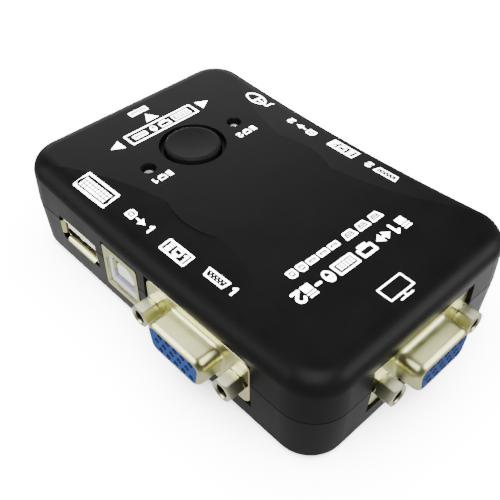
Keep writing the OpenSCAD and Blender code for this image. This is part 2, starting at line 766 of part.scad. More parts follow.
module switch_plunger() color([0.92, 0.92, 0.9]) translate([0, button_y, 0]) {
    foot_h = plunger_shoulder_z - plunger_foot_z;
    translate([-plunger_side / 2, -plunger_side / 2, plunger_foot_z])
        cube([plunger_side, plunger_side, foot_h]);
    translate([-stem_side / 2, -stem_side / 2, plunger_shoulder_z - 0.1])
        cube([stem_side, stem_side, stem_top - plunger_shoulder_z + 0.1]);
}

// Point at angle a (degrees of turning) on the spring's centre line
function coil_point(a, rise) = [cos(a) * spring_d / 2, sin(a) * spring_d / 2, a / 360 * rise];

module switch_spring() color("silver") translate([0, button_y, spring_base_z + spring_wire / 2]) {
    steps = 56;
    corners = 8;
    free_l = plunger_foot_z - spring_base_z - spring_wire;
    rise = free_l / spring_turns;
    // Rings of points round the wire, one at each step of the helix
    rings = [for (i = [0 : steps]) let (a = i / steps * spring_turns * 360, c = coil_point(a, rise))
        for (k = [0 : corners - 1]) let (b = k * 360 / corners)
            c + spring_wire / 2 * [cos(a) * cos(b), sin(a) * cos(b), sin(b)]];
    walls = [for (i = [0 : steps - 1]) for (k = [0 : corners - 1]) let (n = (k + 1) % corners)
        [i * corners + k, (i + 1) * corners + k, (i + 1) * corners + n, i * corners + n]];
    ends = [[for (k = [0 : corners - 1]) k], [for (k = [corners - 1 : -1 : 0]) steps * corners + k]];
    polyhedron(rings, concat(walls, ends));
}

module switch_housing() color([0.15, 0.15, 0.16]) translate([0, button_y, 0]) {
    room = plunger_side + 0.6;
    neck = stem_side + 0.6;
    difference() {
        translate([-switch_side / 2, -switch_side / 2, board_top]) cube([switch_side, switch_side, switch_h]);
        translate([-room / 2, -room / 2, spring_base_z])
            cube([room, room, switch_top - switch_wall - spring_base_z]);
        translate([-neck / 2, -neck / 2, switch_top - switch_wall - over])
            cube([neck, neck, switch_wall + 2 * over]);
    }
}

function terminal_places() = [for (x = [-2.5, 2.5]) for (i = [-1 : 1]) [x, 2 * i]];

module switch_terminals() color([0.8, 0.65, 0.25]) for (p = terminal_places()) {
    blade = [0.5, 0.6];
    translate([p[0] - blade[0] / 2, button_y + p[1] - blade[1] / 2, lead_end_z])
        cube([blade[0], blade[1], board_top - lead_end_z]);
}

// ---------- lamps ----------

lamp_flange_z = 18.6;
lamp_tip_z = case_h - 0.9;
function lamp_lead_x() = [-1.27, 1.27];

module lamp_shape() color([0.85, 0.86, 0.85]) {
    r = lamp_d / 2;
    foot_h = 1;
    translate([0, button_y, lamp_flange_z]) {
        cylinder(h = foot_h, d = lamp_d + 0.8);
        cylinder(h = lamp_tip_z - lamp_flange_z - r, r = r);
        translate([0, 0, lamp_tip_z - lamp_flange_z - r]) sphere(r);
    }
}

module lamp_pc1() translate([lamp_x, 0, 0]) lamp_shape();
module lamp_pc2() translate([-lamp_x, 0, 0]) lamp_shape();

lamp_lead = 0.5;

module lamp_leads() color("silver") for (s = sides()) for (x = lamp_lead_x())
    translate([s * lamp_x + x - lamp_lead / 2, button_y - lamp_lead / 2, lead_end_z])
        cube([lamp_lead, lamp_lead, lamp_flange_z - lead_end_z]);

// ---------- small parts on the board ----------

chip_rows = [-6, 12, 22];
capacitor_columns = [-9, -6, 6, 9];
capacitor_rows = [-1, 17];
resistor_columns = [-12, -10, -8, 8, 10, 12];
resistor_row = 27;
can_place = [10, -36];
can_d = 5;
can_h = 7;

// A chip with gull-wing legs along its two long sides
module chip(w, l, h, legs, pitch) {
    standing = 0.1;
    translate([-w / 2, -l / 2, standing]) cube([w, l, h]);
    for (s = sides()) for (i = [0 : legs - 1]) translate([s * w / 2, (i - (legs - 1) / 2) * pitch, 0]) {
        translate([s > 0 ? -0.1 : -0.9, -0.2, 0]) cube([1, 0.4, 0.2]);
        translate([s > 0 ? -0.1 : -0.3, -0.2, 0]) cube([0.4, 0.4, h / 2 + standing]);
    }
}

module switching_chips() color([0.1, 0.1, 0.1]) translate([0, 0, board_top]) {
    for (y = chip_rows) translate([0, y, 0]) rotate(90) chip(3.9, 9.9, 1.5, 8, 1.27);
}

module chip_capacitors() color([0.6, 0.48, 0.32]) for (x = capacitor_columns) for (y = capacitor_rows)
    translate([x, y, board_top + 0.45]) cube([2, 1.25, 0.9], center = true);

module chip_resistors() color([0.08, 0.08, 0.09]) for (x = resistor_columns)
    translate([x, resistor_row, board_top + 0.25]) cube([1.25, 2, 0.5], center = true);

// Electrolytic can: groove above the bung, and a shallow dish in its top
module supply_capacitor() color([0.2, 0.25, 0.35])
    translate([can_place[0], can_place[1], board_top]) difference() {
        groove_z = 0.9;
        dish = 0.2;
        cylinder(h = can_h, d = can_d);
        translate([0, 0, groove_z]) rotate_extrude() translate([can_d / 2 + 0.1, 0]) circle(0.35);
        translate([0, 0, can_h - dish]) cylinder(h = over, d = can_d - 1);
    }

// ---------- the ports in their places ----------

module vga_monitor_shield() at_vga("monitor") vga_shield_shape();
module vga_monitor_insulator() at_vga("monitor") vga_insulator_shape();
module vga_monitor_contacts() at_vga("monitor") vga_contacts_shape();
module vga_monitor_jackscrews() at_vga("monitor") vga_jackscrews_shape();
module vga_monitor_brackets() at_vga("monitor") vga_brackets_shape();
module vga_pc1_shield() at_vga("pc1") vga_shield_shape();
module vga_pc1_insulator() at_vga("pc1") vga_insulator_shape();
module vga_pc1_contacts() at_vga("pc1") vga_contacts_shape();
module vga_pc1_jackscrews() at_vga("pc1") vga_jackscrews_shape();
module vga_pc1_brackets() at_vga("pc1") vga_brackets_shape();
module vga_pc2_shield() at_vga("pc2") vga_shield_shape();
module vga_pc2_insulator() at_vga("pc2") vga_insulator_shape();
module vga_pc2_contacts() at_vga("pc2") vga_contacts_shape();
module vga_pc2_jackscrews() at_vga("pc2") vga_jackscrews_shape();
module vga_pc2_brackets() at_vga("pc2") vga_brackets_shape();
module usb_keyboard_shell() at_usb_a("keyboard") usb_a_shell_shape();
module usb_keyboard_tongue() at_usb_a("keyboard") usb_a_tongue_shape();
module usb_keyboard_contacts() at_usb_a("keyboard") usb_a_contacts_shape();
module usb_mouse_shell() at_usb_a("mouse") usb_a_shell_shape();
module usb_mouse_tongue() at_usb_a("mouse") usb_a_tongue_shape();
module usb_mouse_contacts() at_usb_a("mouse") usb_a_contacts_shape();
module usb_console_shell() at_usb_a("console") usb_a_shell_shape();
module usb_console_tongue() at_usb_a("console") usb_a_tongue_shape();
module usb_console_contacts() at_usb_a("console") usb_a_contacts_shape();
module usb_pc1_shell() at_usb_b("pc1") usb_b_shell_shape();
module usb_pc1_housing() at_usb_b("pc1") usb_b_housing_shape();
module usb_pc1_contacts() at_usb_b("pc1") usb_b_contacts_shape();
module usb_pc2_shell() at_usb_b("pc2") usb_b_shell_shape();
module usb_pc2_housing() at_usb_b("pc2") usb_b_housing_shape();
module usb_pc2_contacts() at_usb_b("pc2") usb_b_contacts_shape();

top_cover();
bottom_cover();
case_screws();
main_board();
button_cap();
switch_plunger();
switch_spring();
switch_housing();
switch_terminals();
lamp_pc1();
lamp_pc2();
lamp_leads();
vga_monitor_shield();
vga_monitor_insulator();
vga_monitor_contacts();
vga_monitor_jackscrews();
vga_monitor_brackets();
vga_pc1_shield();
vga_pc1_insulator();
vga_pc1_contacts();
vga_pc1_jackscrews();
vga_pc1_brackets();
vga_pc2_shield();
vga_pc2_insulator();
vga_pc2_contacts();
vga_pc2_jackscrews();
vga_pc2_brackets();
usb_keyboard_shell();
usb_keyboard_tongue();
usb_keyboard_contacts();
usb_mouse_shell();
usb_mouse_tongue();
usb_mouse_contacts();
usb_console_shell();
usb_console_tongue();
usb_console_contacts();
usb_pc1_shell();
usb_pc1_housing();
usb_pc1_contacts();
usb_pc2_shell();
usb_pc2_housing();
usb_pc2_contacts();
switching_chips();
chip_capacitors();
chip_resistors();
supply_capacitor();
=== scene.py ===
import json
import math

import bpy
import bmesh
from mathutils import Matrix, Vector
from mathutils.bvhtree import BVHTree
from mathutils.geometry import delaunay_2d_cdt

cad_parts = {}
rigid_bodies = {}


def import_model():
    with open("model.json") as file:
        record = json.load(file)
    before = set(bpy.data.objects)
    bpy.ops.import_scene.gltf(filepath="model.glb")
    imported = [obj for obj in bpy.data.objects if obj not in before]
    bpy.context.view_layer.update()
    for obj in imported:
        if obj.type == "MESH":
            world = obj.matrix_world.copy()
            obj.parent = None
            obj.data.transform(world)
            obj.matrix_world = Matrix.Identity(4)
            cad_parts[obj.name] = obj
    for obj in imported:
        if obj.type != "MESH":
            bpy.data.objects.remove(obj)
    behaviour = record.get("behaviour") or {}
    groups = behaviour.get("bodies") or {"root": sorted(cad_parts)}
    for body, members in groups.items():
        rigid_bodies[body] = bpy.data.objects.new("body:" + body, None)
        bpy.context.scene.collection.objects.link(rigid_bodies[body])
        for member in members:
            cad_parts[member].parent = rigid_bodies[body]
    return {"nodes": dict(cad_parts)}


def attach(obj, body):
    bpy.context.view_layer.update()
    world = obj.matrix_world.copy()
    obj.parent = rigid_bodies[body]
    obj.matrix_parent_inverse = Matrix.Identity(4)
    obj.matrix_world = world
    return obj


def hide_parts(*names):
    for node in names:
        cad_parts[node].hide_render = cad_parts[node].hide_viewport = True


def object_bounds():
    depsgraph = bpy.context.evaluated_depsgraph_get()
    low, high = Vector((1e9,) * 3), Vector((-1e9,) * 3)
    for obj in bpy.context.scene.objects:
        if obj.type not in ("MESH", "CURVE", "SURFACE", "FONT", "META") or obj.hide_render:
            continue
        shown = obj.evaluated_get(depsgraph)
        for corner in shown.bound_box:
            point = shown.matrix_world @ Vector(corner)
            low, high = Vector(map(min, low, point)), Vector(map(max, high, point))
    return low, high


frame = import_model()
CAD_LOW, CAD_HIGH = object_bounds()
MM = 0.001
NODES = frame["nodes"]

# ---------------------------------------------------------------- materials


def new_material(name):
    """A material with an empty node tree apart from its output and a Principled shader."""
    mat = bpy.data.materials.new(name)
    mat.use_nodes = True
    return mat, mat.node_tree, mat.node_tree.nodes["Principled BSDF"]


def texture_place(tree):
    """Object coordinates, in metres of the row frame."""
    return tree.nodes.new("ShaderNodeTexCoord").outputs["Object"]


def noise(tree, place, size_mm, detail=3.0, rough=0.55):
    """Noise whose blobs are about size_mm across."""
    node = tree.nodes.new("ShaderNodeTexNoise")
    node.inputs["Scale"].default_value = 1.0 / (size_mm * MM)
    node.inputs["Detail"].default_value = detail
    node.inputs["Roughness"].default_value = rough
    tree.links.new(place, node.inputs["Vector"])
    return node.outputs["Fac"]


def ramp(tree, source, low, high):
    """Maps a 0..1 source onto low..high, as numbers."""
    node = tree.nodes.new("ShaderNodeMapRange")
    node.inputs["From Min"].default_value = 0.3
    node.inputs["From Max"].default_value = 0.7
    node.inputs["To Min"].default_value = low
    node.inputs["To Max"].default_value = high
    tree.links.new(source, node.inputs["Value"])
    return node.outputs["Result"]


def mix_colour(tree, source, low, high):
    """Mixes two colours by a 0..1 source."""
    node = tree.nodes.new("ShaderNodeMix")
    node.data_type = "RGBA"
    tree.links.new(source, node.inputs["Factor"])
    node.inputs[6].default_value = (*low, 1)
    node.inputs[7].default_value = (*high, 1)
    return node.outputs[2]


def bump(tree, shader, height, depth_mm, strength=1.0):
    """Adds a bump of about depth_mm to the shader's normal, over any bump already there."""
    node = tree.nodes.new("ShaderNodeBump")
    node.inputs["Strength"].default_value = strength
    node.inputs["Distance"].default_value = depth_mm * MM
    tree.links.new(height, node.inputs["Height"])
    if shader.inputs["Normal"].is_linked:
        tree.links.new(shader.inputs["Normal"].links[0].from_socket, node.inputs["Normal"])
    tree.links.new(node.outputs["Normal"], shader.inputs["Normal"])


def shaded(name, low, high, rough, metallic=0.0, blotch_mm=6.0, grain_mm=0.3, grain_depth_mm=0.004,
           specular=0.5, ior=1.5):
    """A worn-in procedural finish: a slow blotch in colour and roughness, and a fine grain in the surface."""
    mat, tree, shader = new_material(name)
    place = texture_place(tree)
    blotch = noise(tree, place, blotch_mm)
    grain = noise(tree, place, grain_mm, detail=2.0)
    tree.links.new(mix_colour(tree, ramp(tree, blotch, 0, 1), low, high), shader.inputs["Base Color"])
    tree.links.new(ramp(tree, blotch, rough[0], rough[1]), shader.inputs["Roughness"])
    shader.inputs["Metallic"].default_value = metallic
    shader.inputs["IOR"].default_value = ior
    shader.inputs["Specular IOR Level"].default_value = specular
    bump(tree, shader, grain, grain_depth_mm)
    return mat


# Every finish: its two colours, its range of roughness, and what differs from the defaults of shaded()
FINISHES = {
    "case_black": dict(low=(0.0094, 0.0094, 0.0092), high=(0.0120, 0.0120, 0.0117), rough=(0.38, 0.45),
        blotch_mm=9, grain_mm=0.22, grain_depth_mm=0.006, specular=0.14),
    "button_black": dict(low=(0.0120, 0.0120, 0.0117), high=(0.0146, 0.0146, 0.0142), rough=(0.42, 0.50),
        blotch_mm=5, grain_mm=0.2, grain_depth_mm=0.006, specular=0.16),
    "shield_nickel": dict(low=(0.60, 0.60, 0.28), high=(0.78, 0.77, 0.41), rough=(0.28, 0.34),
        metallic=1.0, blotch_mm=5, grain_mm=0.5, grain_depth_mm=0.0015),
    "jack_nickel": dict(low=(0.66, 0.66, 0.44), high=(0.76, 0.76, 0.53), rough=(0.28, 0.33),
        metallic=1.0, blotch_mm=3, grain_mm=0.4, grain_depth_mm=0.001),
    "bracket_steel": dict(low=(0.55, 0.54, 0.50), high=(0.66, 0.65, 0.60), rough=(0.24, 0.36),
        metallic=1.0, blotch_mm=3, grain_mm=0.5, grain_depth_mm=0.002),
    # Dark steel of the case screws; on the USB shell liners the same dark finish is painted shade
    "screw_steel": dict(low=(0.16, 0.15, 0.13), high=(0.24, 0.22, 0.19), rough=(0.24, 0.36),
        metallic=1.0, blotch_mm=2, grain_mm=0.3, grain_depth_mm=0.002),
    # Near-black brown of the threads: painted shade deep in the jackscrew bores
    "bore_painted_shade": dict(low=(0.030, 0.022, 0.014), high=(0.050, 0.038, 0.025), rough=(0.45, 0.60),
        metallic=1.0, blotch_mm=1, grain_mm=0.2, grain_depth_mm=0.002),
    "spring_steel": dict(low=(0.50, 0.50, 0.50), high=(0.62, 0.62, 0.61), rough=(0.18, 0.28),
        metallic=1.0, blotch_mm=2, grain_mm=0.3, grain_depth_mm=0.002),
    "lead_tin": dict(low=(0.62, 0.62, 0.60), high=(0.74, 0.74, 0.72), rough=(0.26, 0.38),
        metallic=1.0, blotch_mm=2, grain_mm=0.3, grain_depth_mm=0.002),
    "contact_gold": dict(low=(0.62, 0.44, 0.15), high=(0.72, 0.53, 0.20), rough=(0.18, 0.28),
        metallic=1.0, blotch_mm=2, grain_mm=0.3, grain_depth_mm=0.001),
    "vga_blue": dict(low=(0.0075, 0.025, 0.100), high=(0.0100, 0.031, 0.125), rough=(0.40, 0.50),
        blotch_mm=4, grain_mm=0.2, grain_depth_mm=0.003, specular=0.15),
    # Near-black blue of the pin sockets: painted shade in and round the holes
    "vga_blue_deep": dict(low=(0.0020, 0.0045, 0.020), high=(0.0030, 0.0060, 0.028), rough=(0.40, 0.50),
        blotch_mm=2, grain_mm=0.2, grain_depth_mm=0.002, specular=0.15),
    "tongue_white": dict(low=(0.56, 0.555, 0.53), high=(0.64, 0.635, 0.61), rough=(0.34, 0.44),
        blotch_mm=3, grain_mm=0.2, grain_depth_mm=0.002),
    "socket_white": dict(low=(0.52, 0.52, 0.51), high=(0.60, 0.60, 0.59), rough=(0.34, 0.44),
        blotch_mm=3, grain_mm=0.2, grain_depth_mm=0.002),
    "switch_white": dict(low=(0.60, 0.60, 0.58), high=(0.70, 0.70, 0.68), rough=(0.36, 0.46),
        blotch_mm=3, grain_mm=0.2, grain_depth_mm=0.002),
    "board_green": dict(low=(0.012, 0.09, 0.03), high=(0.02, 0.12, 0.045), rough=(0.28, 0.40),
        blotch_mm=4, grain_mm=0.3, grain_depth_mm=0.003),
    "chip_black": dict(low=(0.014, 0.014, 0.015), high=(0.024, 0.024, 0.025), rough=(0.45, 0.58),
        blotch_mm=2, grain_mm=0.12, grain_depth_mm=0.004),
    "capacitor_tan": dict(low=(0.34, 0.22, 0.12), high=(0.42, 0.28, 0.16), rough=(0.40, 0.52),
        blotch_mm=1, grain_mm=0.1, grain_depth_mm=0.002),
    "resistor_black": dict(low=(0.02, 0.02, 0.02), high=(0.04, 0.04, 0.04), rough=(0.40, 0.52),
        blotch_mm=1, grain_mm=0.1, grain_depth_mm=0.002),
    "capacitor_sleeve": dict(low=(0.02, 0.02, 0.05), high=(0.03, 0.03, 0.07), rough=(0.25, 0.35),
        blotch_mm=3, grain_mm=0.3, grain_depth_mm=0.002),
    "print_white": dict(low=(0.86, 0.87, 0.86), high=(0.93, 0.94, 0.93), rough=(0.42, 0.52),
        blotch_mm=2, grain_mm=0.12, grain_depth_mm=0.003),
}
MATERIALS = {name: shaded(name, **finish) for name, finish in FINISHES.items()}


def lamp_material():
    """Clear lamp resin: glassy, with a slightly milky blotch."""
    mat, tree, shader = new_material("lamp_clear")
    place = texture_place(tree)
    blotch = noise(tree, place, 1.2)
    colour = mix_colour(tree, blotch, (0.80, 0.82, 0.84), (0.92, 0.93, 0.94))
    tree.links.new(colour, shader.inputs["Base Color"])
    tree.links.new(ramp(tree, blotch, 0.06, 0.14), shader.inputs["Roughness"])
    shader.inputs["IOR"].default_value = 1.5
    shader.inputs["Transmission Weight"].default_value = 0.85
    bump(tree, shader, noise(tree, place, 0.4), 0.002)
    return mat


MATERIALS["lamp_clear"] = lamp_material()


def math_node(tree, operation, *values):
    """One math node; each value is a socket or a number."""
    node = tree.nodes.new("ShaderNodeMath")
    node.operation = operation
    for k, value in enumerate(values):
        if isinstance(value, float):
            node.inputs[k].default_value = value
        else:
            tree.links.new(value, node.inputs[k])
    return node.outputs["Value"]


def smooth_step(tree, value, start_mm, end_mm):
    """Rises smoothly from 0 to 1 as value, in metres, goes from start to end."""
    node = tree.nodes.new("ShaderNodeMapRange")
    node.interpolation_type = "SMOOTHSTEP"
    node.inputs["From Min"].default_value = start_mm * MM
    node.inputs["From Max"].default_value = end_mm * MM
    tree.links.new(value, node.inputs["Value"])
    return node.outputs["Result"]


# The square sockets: painted shade darkens the frame and walls behind the shell, and the front of the post
# stays light.
# Middle of the sockets and half the size of their post, in mm
SOCKET_Y, SOCKET_Z, POST_HALF_W, POST_HALF_H = -9.3, 11.9, 2.86, 1.66
# Distances from the middle of the case, in mm, between which the painted shade on walls and post fades from
# dark to light
WALL_DARK, WALL_LIGHT, POST_DARK, POST_LIGHT = 29.7, 30.8, 29.3, 29.95
SOCKET_SHADE = (0.15, 0.15, 0.18)


def shade_sockets(mat):
    """Paints shade into the socket material inward from the case's long sides, later on the post than on the
    walls.
    """
    tree, shader = mat.node_tree, mat.node_tree.nodes["Principled BSDF"]
    split = tree.nodes.new("ShaderNodeSeparateXYZ")
    tree.links.new(texture_place(tree), split.inputs["Vector"])
    across = math_node(tree, "ABSOLUTE", split.outputs["X"])
    walls = smooth_step(tree, across, WALL_DARK, WALL_LIGHT)
    post = smooth_step(tree, across, POST_DARK, POST_LIGHT)
    in_width = math_node(tree, "COMPARE", split.outputs["Y"], SOCKET_Y * MM, POST_HALF_W * MM)
    in_height = math_node(tree, "COMPARE", split.outputs["Z"], SOCKET_Z * MM, POST_HALF_H * MM)
    on_post = math_node(tree, "MULTIPLY", in_width, in_height)
    light = math_node(tree, "MULTIPLY_ADD", on_post, math_node(tree, "SUBTRACT", post, walls), walls)
    mix = tree.nodes.new("ShaderNodeMix")
    mix.data_type = "RGBA"
    mix.inputs[6].default_value = (*SOCKET_SHADE, 1)
    tree.links.new(light, mix.inputs["Factor"])
    tree.links.new(shader.inputs["Base Color"].links[0].from_socket, mix.inputs[7])
    tree.links.new(mix.outputs[2], shader.inputs["Base Color"])


shade_sockets(MATERIALS["socket_white"])

for node in NODES.values():
    for held in node.material_slots:
        key = held.material.name.split(".")[0] if held.material else ""
        if key in MATERIALS and held.material is not MATERIALS[key]:
            held.material = MATERIALS[key]

# ---------------------------------------------------------------- printing on the top

# Top and root of the ink over the cover, and the grid that lets it follow the cover's curve, in mm
PRINT_HEIGHT, PRINT_ROOT, PRINT_GRID = 0.02, -0.01, 0.6
ROUND_STEPS, OVAL_STEPS = 12, 28


def surface_of(node_name):
    """A tree for dropping points onto a CAD node's surface."""
    mesh = NODES[node_name].data
    return BVHTree.FromPolygons([v.co[:] for v in mesh.vertices], [p.vertices[:] for p in mesh.polygons])


TOP_TREE = surface_of("top_cover")


def top_height(x, y):
    """Height of the top cover at a point, in mm."""
    hit = TOP_TREE.ray_cast(Vector((x * MM, y * MM, 0.1)), Vector((0, 0, -1)))
    return hit[0].z / MM


def oval(x, y, rx, ry, steps=OVAL_STEPS):
    """Points round an oval."""
    turns = [2 * math.pi * i / steps for i in range(steps)]
    return [(x + rx * math.cos(t), y + ry * math.sin(t)) for t in turns]


def disc(x, y, r, steps=ROUND_STEPS):
    """Points round a circle."""
    return oval(x, y, r, r, steps)


def stroke(points, width, closed=False):
    """Polygons that draw a line of this width, with round ends and joins."""
    made = []
    n = len(points)
    for i in range(n if closed else n - 1):
        a, b = Vector(points[i]), Vector(points[(i + 1) % n])
        along = (b - a).normalized()
        side = Vector((-along.y, along.x)) * width / 2
        made.append([tuple(a - side), tuple(b - side), tuple(b + side), tuple(a + side)])
    made += [disc(x, y, width / 2) for x, y in points]
    return made


def box(x0, y0, x1, y1):
    """Corners of a rectangle."""
    return [(x0, y0), (x1, y0), (x1, y1), (x0, y1)]


def frame_marks(x0, y0, x1, y1, width):
    """The outline of a box, drawn inside its edges."""
    h = width / 2
    return stroke(box(x0 + h, y0 + h, x1 - h, y1 - h), width, closed=True)


def moved_marks(marks, dx, dy):
    """The same marks in another place."""
    return [[(x + dx, y + dy) for x, y in ring] for ring in marks]


def screen_marks(x, h, width, pen):
    """A screen on a foot: x is its left side, h its height over the base line."""
    foot = h * 0.22
    return (frame_marks(x, foot, x + width, h, pen)
            + stroke([(x + width / 2, pen / 2), (x + width / 2, foot + pen / 2)], pen)
            + stroke([(x + width * 0.27, pen / 2), (x + width * 0.73, pen / 2)], pen))


def keyboard_marks(x, y, width, h, pen, columns):
    """A keyboard: a frame with two rows of keys and a row with a space bar."""
    made = frame_marks(x, y, x + width, y + h, pen)
    gap = pen * 0.7
    inner_w, inner_h = width - 2 * pen - 2 * gap, h - 2 * pen - 2 * gap
    key_w, key_h = inner_w / columns, inner_h / 3
    key = 0.70
    for row in range(3):
        y0 = y + pen + gap + row * key_h
        for c in range(columns):
            if row == 0 and 2 <= c <= columns - 3:
                continue
            x0 = x + pen + gap + c * key_w
            made.append(box(x0, y0, x0 + key_w * key, y0 + key_h * key))
        if row == 0:
            x0 = x + pen + gap + 2 * key_w
            made.append(box(x0, y0, x0 + key_w * (columns - 5 + key), y0 + key_h * key))
    return made


def mouse_marks(x, y, rx, ry, pen):
    """A mouse seen from above, its cable end up."""
    body = stroke(oval(x, y, rx - pen / 2, ry - pen / 2), pen, closed=True)
    split_y = y + ry * 0.12
    return (body + stroke([(x - rx + pen, split_y), (x + rx - pen, split_y)], pen)
            + stroke([(x, split_y), (x, y + ry - pen / 2)], pen))


def tower_marks(x, h, width):
    """An upright computer case: a solid block under two drive bays."""
    return [box(x, h * low, x + width, h * high) for low, high in ((0.0, 0.54), (0.64, 0.77), (0.87, 1.0))]


def double_arrow_marks(x, y, length, head, pen):
    """A line with a head at both ends."""
    return (stroke([(x + head * 0.6, y), (x + length - head * 0.6, y)], pen)
            + [[(x, y), (x + head, y - head * 0.75), (x + head, y + head * 0.75)],
               [(x + length, y), (x + length - head, y + head * 0.75), (x + length - head, y - head * 0.75)]])


def wide_port_marks(x, h, width, pen, pins):
    """A D-shaped port, wider at the top, with two rows of pins."""
    inset = h * 0.2
    c = pen / 2
    outline = [(x + c, h - c), (x + width - c, h - c), (x + width - inset - c, c), (x + inset + c, c)]
    made = stroke(outline, pen, closed=True)
    for row, count in ((0.62, pins), (0.38, pins - 1)):
        for i in range(count):
            pin_x = x + width / 2 + (i - (count - 1) / 2) * (width - 2 * inset - 2 * pen) / pins
            made.append(disc(pin_x, h * row, pen * 0.32, 8))
    return made


def flat_port_marks(x, h, width, pen):
    """A flat port: a low frame with a bar in its upper half."""
    low = h * 0.14
    bar = box(x + 1.9 * pen, h * 0.5, x + width - 1.9 * pen, h - low - 1.55 * pen)
    return frame_marks(x, low, x + width, h - low, pen) + [bar]


def square_port_marks(x, h, width, pen):
    """A square port with two bevelled upper corners and a middle post."""
    c, cut = pen / 2, h * 0.28
    outline = [(x + c, c), (x + width - c, c), (x + width - c, h - cut),
               (x + width - cut, h - c), (x + cut, h - c), (x + c, h - cut)]
    post = box(x + width * 0.34, h * 0.36, x + width * 0.66, h * 0.60)
    return stroke(outline, pen, closed=True) + [post]


def one_marks(x, h, pen):
    """The digit 1."""
    return stroke([(x, h * 0.72), (x + h * 0.26, h - pen / 2), (x + h * 0.26, pen / 2)], pen)


def two_marks(x, h, pen):
    """The digit 2."""
    r = h * 0.26
    arc = [(x + r - r * math.cos(t), h - pen / 2 - r + r * math.sin(t))
           for t in [math.radians(a) for a in range(10, 215, 25)]]
    return stroke(arc + [(x, pen / 2), (x + 2 * r, pen / 2)], pen)


def inside(x, y, ring):
    """Even-odd test of a point in a polygon."""
    odd = False
    for (x0, y0), (x1, y1) in zip(ring, ring[1:] + ring[:1]):
        if (y0 > y) != (y1 > y) and x < (x1 - x0) * (y - y0) / (y1 - y0) + x0:
            odd = not odd
    return odd


def ring_area(ring):
    """Twice the signed area of a polygon, positive when it runs anticlockwise."""
    return sum(x0 * y1 - x1 * y0 for (x0, y0), (x1, y1) in zip(ring, ring[1:] + ring[:1]))


def inked_faces(marks):
    """Points and faces of a flat sheet that covers the marks, with a grid of extra points inside it."""
    verts, faces = [], []
    for ring in marks:
        faces.append(list(range(len(verts), len(verts) + len(ring))))
        verts += [Vector(p) for p in (ring if ring_area(ring) > 0 else ring[::-1])]
    lo_x, hi_x = min(v.x for v in verts), max(v.x for v in verts)
    lo_y, hi_y = min(v.y for v in verts), max(v.y for v in verts)
    for i in range(int((hi_x - lo_x) / PRINT_GRID) + 2):
        for j in range(int((hi_y - lo_y) / PRINT_GRID) + 2):
            verts.append(Vector((lo_x + i * PRINT_GRID, lo_y + j * PRINT_GRID)))
    out_v, _, out_f, _, _, _ = delaunay_2d_cdt(verts, [], faces, 0, 1e-5, False)
    boxes = [(min(p[0] for p in r), max(p[0] for p in r), min(p[1] for p in r), max(p[1] for p in r), r)
             for r in marks]
    kept = []
    for face in out_f:
        x = sum(out_v[i].x for i in face) / len(face)
        y = sum(out_v[i].y for i in face) / len(face)
        if any(x0 < x < x1 and y0 < y < y1 and inside(x, y, r) for x0, x1, y0, y1, r in boxes):
            kept.append(face)
    return out_v, kept


def print_mark(name, marks, origin, turn):
    """Lays 2D marks, in mm, onto the top cover as one thin raised sheet.

    turn is the reading direction in degrees from +X.
    """
    out_v, kept = inked_faces(marks)
    used = sorted({i for face in kept for i in face})
    at = {v: k for k, v in enumerate(used)}
    t = math.radians(turn)
    points = []
    for v in used:
        u, w = out_v[v]
        x = origin[0] + u * math.cos(t) - w * math.sin(t)
        y = origin[1] + u * math.sin(t) + w * math.cos(t)
        points.append((x, y, top_height(x, y)))
    n = len(points)
    coords = [(x * MM, y * MM, (z + PRINT_HEIGHT) * MM) for x, y, z in points]
    coords += [(x * MM, y * MM, (z + PRINT_ROOT) * MM) for x, y, z in points]
    top = [[at[i] for i in face] for face in kept]
    polys = top + [[i + n for i in reversed(face)] for face in top]
    edges = dict.fromkeys((a, b) for face in top for a, b in zip(face, face[1:] + face[:1]))
    polys += [[b, a, a + n, b + n] for a, b in edges if (b, a) not in edges]
    mesh = bpy.data.meshes.new(name)
    mesh.from_pydata(coords, [], polys)
    mesh.validate()
    mesh.materials.append(MATERIALS["print_white"])
    piece = bpy.data.objects.new(name, mesh)
    bpy.context.scene.collection.objects.link(piece)
    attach(piece, "case")


# Title row: two computers share one screen, keyboard and mouse.
TITLE_H, TITLE_PEN = 3.3, 0.62
title = (tower_marks(0, TITLE_H, 2.1) + one_marks(3.3, TITLE_H, TITLE_PEN)
         + double_arrow_marks(5.3, TITLE_H / 2, 4.2, 1.7, TITLE_PEN)
         + screen_marks(10.6, TITLE_H, 4.2, TITLE_PEN) + keyboard_marks(15.8, 0, 5.9, TITLE_H, 0.5, 5)
         + mouse_marks(23.6, TITLE_H / 2, 1.15, TITLE_H / 2, 0.5)
         + stroke([(25.9, TITLE_H / 2), (27.0, TITLE_H / 2)], TITLE_PEN)
         + tower_marks(27.9, TITLE_H, 2.1) + two_marks(30.7, TITLE_H, TITLE_PEN))
print_mark("print_title", title, (-15.0, 27.9), -0.9)

# Row under the title: three video ports, three flat and two square USB ports
SUB_H, SUB_PEN = 2.2, 0.42
sub = []
for i in range(3):
    sub += wide_port_marks(i * 4.0, SUB_H, 3.4, SUB_PEN, 4)
for i in range(3):
    sub += flat_port_marks(13.0 + i * 3.1, SUB_H, 2.6, SUB_PEN)
for i in range(2):
    sub += square_port_marks(22.3 + i * 2.7, SUB_H, 2.1, SUB_PEN)
print_mark("print_ports_row", sub, (-12.8, 23.3), -0.9)

print_mark("print_monitor_port", screen_marks(0, 4.9, 7.0, 0.36), (5.1, 42.7), 179.0)

